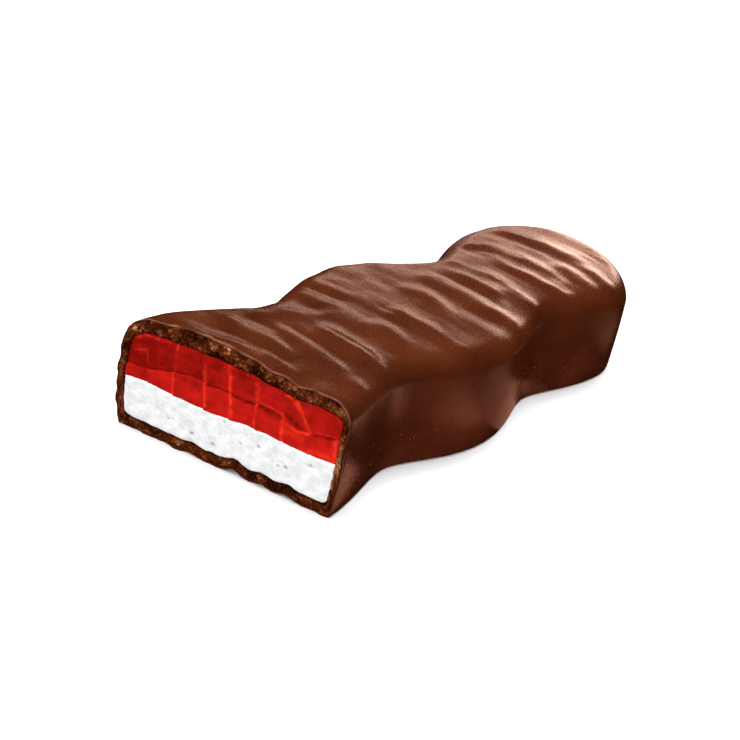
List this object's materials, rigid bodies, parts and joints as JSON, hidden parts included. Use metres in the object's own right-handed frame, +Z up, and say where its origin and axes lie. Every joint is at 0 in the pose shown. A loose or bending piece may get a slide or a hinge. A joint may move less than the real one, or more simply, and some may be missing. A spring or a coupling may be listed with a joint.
{
  "type": "chocolate covered marshmallow",
  "caption": "Marshmallow and red jelly bar in a thin chocolate coating, a chain of round lobes with a ridged top, cut across one end to show its layers.",
  "frame": {"origin": "middle of the bar's bounding box in plan, on the flat underside", "axes": "+Z up; +Y along the bar from the cut face to the whole round end; +X to the right as seen from the cut face"},
  "size_m": [0.0324, 0.0786, 0.0158],
  "materials": {
    "chocolate": "milk chocolate coating, satin gloss, blown into low ridges on top; dark, crumbly and matt where cut",
    "jelly": "translucent red jelly, wet gloss, cut in blocks",
    "marshmallow": "white marshmallow, matt, fine pores"
  },
  "bodies": {
    "root": {"chocolate_coating": "chocolate", "jelly_layer": "jelly", "marshmallow_layer": "marshmallow"}
  },
  "joints": []
}
